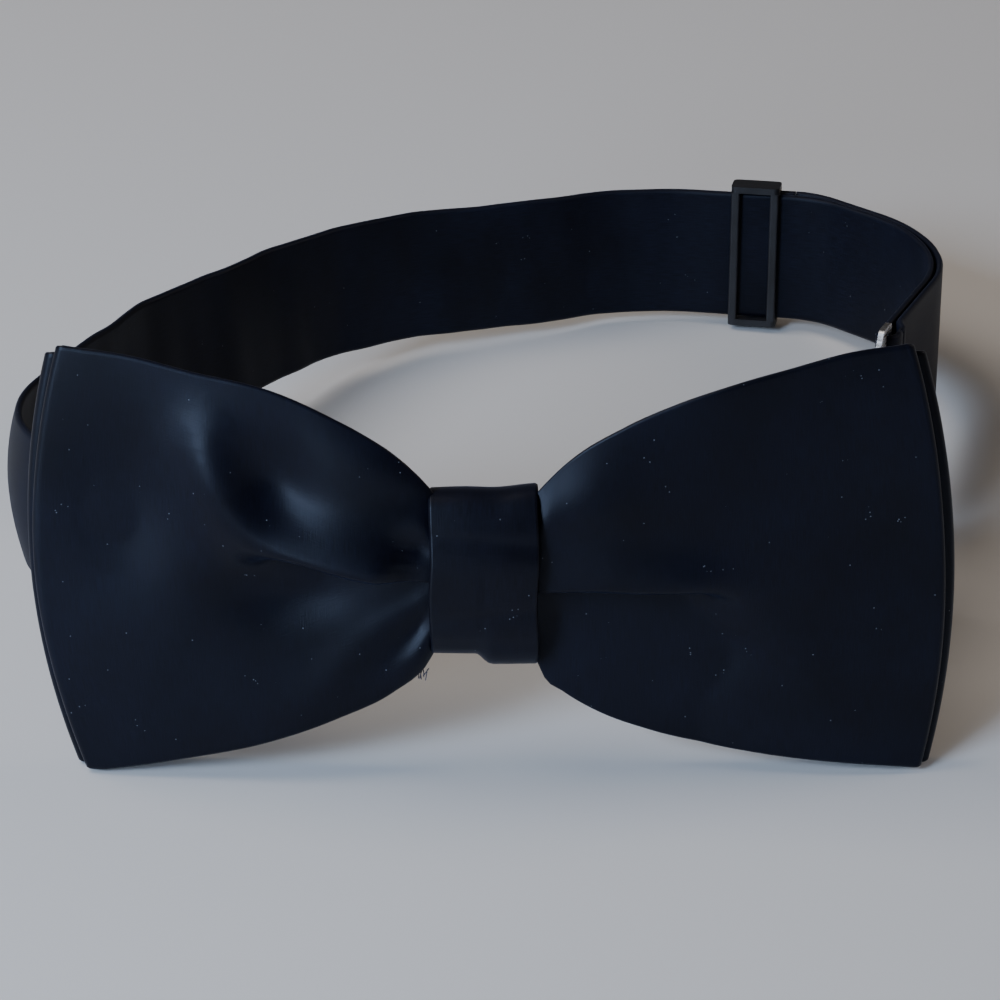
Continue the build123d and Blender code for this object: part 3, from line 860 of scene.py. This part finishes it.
ROUND_BAR = 1.2                        # from the middle bar's centre to the cloth's middle
slider_line, slider_run = rounded([
    beside(SLIDER, SLIDER_LEAD, CENTRE_BAR - ROUND_BAR),
    beside(SLIDER, -ROUND_BAR, CENTRE_BAR - ROUND_BAR),
    beside(SLIDER, -ROUND_BAR, CENTRE_BAR + ROUND_BAR),
    beside(SLIDER, 1.8, CENTRE_BAR + ROUND_BAR),
    beside(SLIDER, 3.8, FOLD_GAP),
    beside(SLIDER, SLIDER_LEAD, FOLD_GAP),
], (1.19, 1.19, 1.5, 1.5), step=0.5)
band_piece("slider_fold_satin", strip(slider_line), STRAP, band_satin, "slider_fold",
           "slider")


TACK_ROWS = (-0.8, 0.8)
TACK_HEIGHTS = np.linspace(-9, 9, 10)


def tacks(name, spot, ahead, out, node, body):
    """Two rows of short stitches across the band, on its outer face."""
    paths = []
    t = np.linspace(-1, 1, 9)
    for row in TACK_ROWS:
        for w in TACK_HEIGHTS:
            spots = [beside(spot, ahead + row, out + 0.02 + 0.22 * (1 - s * s)) for s in t]
            paths.append([(x, q, w + 0.75 * s) for (x, q), s in zip(spots, t)])
    piece = threads(name, paths, TACK_THREAD, navy_thread)
    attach(piece, body)
    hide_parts(node)


tacks("eye_fold_tack", CLOSURE, EYE_BAR + 7.4, PINCH + STRAP / 2, "eye_fold_stitches", "band")
tacks("slider_fold_tack", SLIDER, 5.2, FOLD_GAP + STRAP / 2, "slider_fold_stitches", "slider")

# ---------------------------------------------------------------- metal, and the frayed threads

for node, material in (("hook", nickel), ("eye", nickel), ("slider_frame", black_enamel)):
    metal = frame["nodes"][node]
    metal.data.materials.clear()
    metal.data.materials.append(material)

FRAY_AT = (-8.2, -6.4, -14.4)          # at the knot's lower left
FRAYED = 7
FRAY_POINTS = 14
drawn = np.random.default_rng(4).uniform


def loose_thread(start, heading, length, curl):
    """A short curved end of thread."""
    t = np.linspace(0, 1, FRAY_POINTS)
    angle = heading + curl * t
    x = start[0] + np.cumsum(np.cos(angle)) * length / FRAY_POINTS
    w = start[2] + np.cumsum(np.sin(angle)) * length / FRAY_POINTS
    return np.stack([x, start[1] - 0.1 * t * length, w], -1)


ends = []
for _ in range(FRAYED):
    start = np.array(FRAY_AT) + drawn(-1, 1, 3) * (1.0, 0.3, 0.2)
    heading, length, curl = drawn(-2.2, -1.3), drawn(0.9, 1.9), drawn(-0.6, 0.6)
    ends.append(loose_thread(start, heading, length, curl))
fray = threads("frayed_threads", ends, FRAY_THREAD, frayed_thread)
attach(fray, "bow")

# ---------------------------------------------------------------- floor, light and camera


FLOOR_COLOUR = (0.60, 0.575, 0.55)
SKY_COLOUR = (0.80, 0.76, 0.74)
SKY_STRENGTH = 0.08
LOOKED_AT = (0, 0, 0.02)


def matte(name, colour):
    """The floor's plain surface."""
    material, shader, *_ = nodes_of(name)
    preset(shader, {"Base Color": (*colour, 1), "Roughness": 0.9})
    return material


bpy.ops.mesh.primitive_plane_add(size=6)
floor = bpy.context.object
floor.name = "floor"
floor.data.materials.append(matte("floor", FLOOR_COLOUR))


def area_light(name, at, size, power, colour):
    """A square light that points at the tie."""
    data = bpy.data.lights.new(name, "AREA")
    data.energy, data.size, data.color = power, size, colour
    lamp = bpy.data.objects.new(name, data)
    lamp.location = at
    lamp.rotation_euler = (Vector(LOOKED_AT) - Vector(at)).to_track_quat("-Z", "Y").to_euler()
    bpy.context.scene.collection.objects.link(lamp)


area_light("window", (-0.52, -0.54, 0.46), 0.28, 8, (0.56, 0.73, 1.0))
area_light("low_window", (-0.50, -0.70, 0.14), 0.24, 4.2, (0.58, 0.74, 1.0))
area_light("overhead", (-0.60, 0.05, 0.95), 0.6, 6, (1.0, 0.93, 0.86))
area_light("lamp", (1.0, 0.15, 0.55), 0.5, 2.2, (1.0, 0.86, 0.74))
world = bpy.data.worlds.new("world")
bpy.context.scene.world = world
world.use_nodes = True
preset(world.node_tree.nodes["Background"], {"Color": (*SKY_COLOUR, 1), "Strength": SKY_STRENGTH})

CAMERA_ELEVATION = math.radians(30.7)
CAMERA_FROM = (0.00215, -0.36554, 0.22507)     # from the tie's origin
CAMERA_LENS = 114.9
camera = bpy.data.objects.new("camera", bpy.data.cameras.new("camera"))
camera.location = ORIGIN + np.array(CAMERA_FROM)
camera.rotation_euler = (math.pi / 2 - CAMERA_ELEVATION, 0, 0)
camera.data.lens = CAMERA_LENS
camera.data.sensor_width = 36
camera.data.clip_start = 0.01
bpy.context.scene.collection.objects.link(camera)
bpy.context.scene.camera = camera
